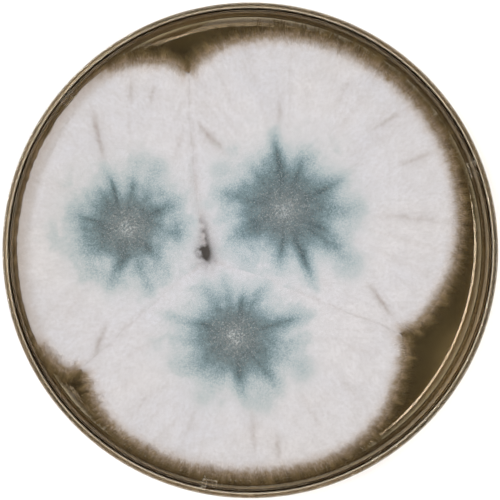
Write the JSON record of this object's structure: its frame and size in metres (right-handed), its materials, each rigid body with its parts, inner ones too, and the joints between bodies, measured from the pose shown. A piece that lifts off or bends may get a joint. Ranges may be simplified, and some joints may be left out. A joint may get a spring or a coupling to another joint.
{
  "type": "petri dish",
  "caption": "Round clear plastic petri dish with a lift-off lid, a poured agar layer and white fungal colonies with blue-green spore centres.",
  "frame": {"origin": "centre of the plane that the foot arcs rest on", "axes": "+Z up through the lid, along the way the lid lifts; seen from above with +Y up, the colony with the largest free front is on the right (+X)"},
  "size_m": [0.09, 0.09, 0.0152],
  "materials": {
    "clear_base": "polished clear polystyrene",
    "clear_lid": "polished clear polystyrene",
    "agar": "glossy wet gel, dark amber brown",
    "mycelium": "matt felted mycelium, off-white with blue-green spore centres"
  },
  "bodies": {
    "dish": {"dish_base": "clear_base", "agar_medium": "agar", "colony_left": "mycelium", "colony_right": "mycelium", "colony_lower": "mycelium"},
    "lid": {"lid": "clear_lid"}
  },
  "joints": [
    {"name": "lid_lift", "type": "slide", "parent": "dish", "child": "lid", "axis": [0, 0, 1], "range_m": [0, 0.035]}
  ]
}
